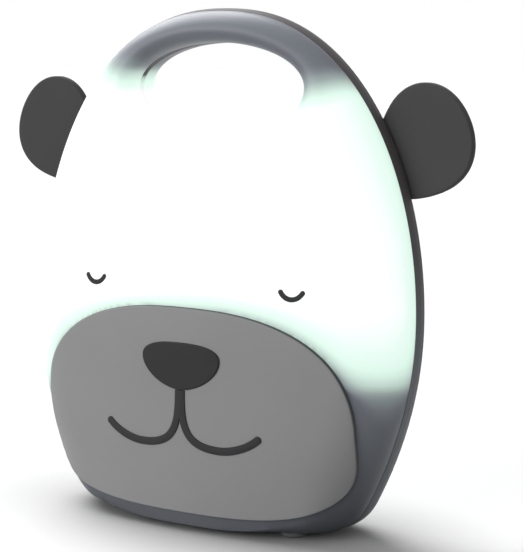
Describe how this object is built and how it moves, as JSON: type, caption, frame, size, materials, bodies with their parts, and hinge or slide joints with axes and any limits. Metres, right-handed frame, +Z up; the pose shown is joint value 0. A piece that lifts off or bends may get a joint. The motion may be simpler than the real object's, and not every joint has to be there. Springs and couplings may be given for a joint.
{
  "type": "portable night light",
  "caption": "Cordless night light shaped like a bear's head, with translucent shells, a dark middle band, a carry handle cut through the top and a battery bay at the back.",
  "frame": {"origin": "on the floor, under the middle of the lamp's box", "axes": "+Z up, +X to the right as one looks at the face, the face looks to -Y"},
  "size_m": [0.2066, 0.0522, 0.2],
  "materials": {
    "diffuser": "satin translucent diffuser",
    "frame_grey": "satin",
    "ear_grey": "matte",
    "muzzle_grey": "satin",
    "nose_black": "matte",
    "line_black": "matte",
    "chassis_black": "moulded",
    "reflector_white": "gloss",
    "board_green": "lacquered board",
    "light_white": "clear resin",
    "chip_black": "moulded",
    "switch_black": "moulded",
    "button_grey": "satin",
    "cell_sleeve": "printed sleeve",
    "contact_nickel": "nickel plate",
    "spring_nickel": "nickel plate",
    "screw_steel": "zinc plated",
    "door_grey": "satin",
    "foam_grey": "foam",
    "foot_rubber": "soft",
    "red_insulation": "satin",
    "black_insulation": "satin"
  },
  "bodies": {
    "lamp": {"battery_lead_negative": "black_insulation", "battery_lead_positive": "red_insulation", "board_screw_left": "screw_steel", "board_screw_right": "screw_steel", "case_screw_low_left": "screw_steel", "case_screw_low_right": "screw_steel", "case_screw_middle_left": "screw_steel", "case_screw_middle_right": "screw_steel", "case_screw_top_left": "screw_steel", "case_screw_top_right": "screw_steel", "cell_1": "cell_sleeve", "cell_2": "cell_sleeve", "cell_3": "cell_sleeve", "cell_spring_1": "spring_nickel", "cell_spring_2": "spring_nickel", "cell_spring_3": "spring_nickel", "chassis": "chassis_black", "chassis_screw_left": "screw_steel", "chassis_screw_right": "screw_steel", "contact_link_left": "contact_nickel", "contact_link_right": "contact_nickel", "contact_negative": "contact_nickel", "contact_positive": "contact_nickel", "controller_chip": "chip_black", "ear_left": "ear_grey", "ear_right": "ear_grey", "eye_left": "line_black", "eye_right": "line_black", "foot_front_left": "foot_rubber", "foot_front_right": "foot_rubber", "foot_rear_left": "foot_rubber", "foot_rear_right": "foot_rubber", "frame": "frame_grey", "front_shell": "diffuser", "light_1": "light_white", "light_2": "light_white", "light_3": "light_white", "light_4": "light_white", "light_5": "light_white", "light_6": "light_white", "light_board": "board_green", "light_lead": "red_insulation", "light_screw_left": "screw_steel", "light_screw_right": "screw_steel", "main_board": "board_green", "mouth": "line_black", "muzzle_panel": "muzzle_grey", "nose": "nose_black", "power_switch": "switch_black", "rear_shell": "diffuser", "reflector": "reflector_white", "timer_switch": "switch_black"},
    "power_button": {"power_button": "button_grey"},
    "timer_button": {"timer_button": "button_grey"},
    "battery_door": {"battery_door": "door_grey", "door_screw": "screw_steel", "door_pad": "foam_grey"}
  },
  "joints": [
    {"name": "power_button_press", "type": "slide", "parent": "lamp", "child": "power_button", "axis": [0, -1, 0], "range_m": [0, 0.0008], "stiffness_N_per_m": 800},
    {"name": "timer_button_press", "type": "slide", "parent": "lamp", "child": "timer_button", "axis": [0, -1, 0], "range_m": [0, 0.0008], "stiffness_N_per_m": 800},
    {"name": "battery_door_off", "type": "slide", "parent": "lamp", "child": "battery_door", "axis": [0, 1, 0], "range_m": [0, 0.03]}
  ]
}
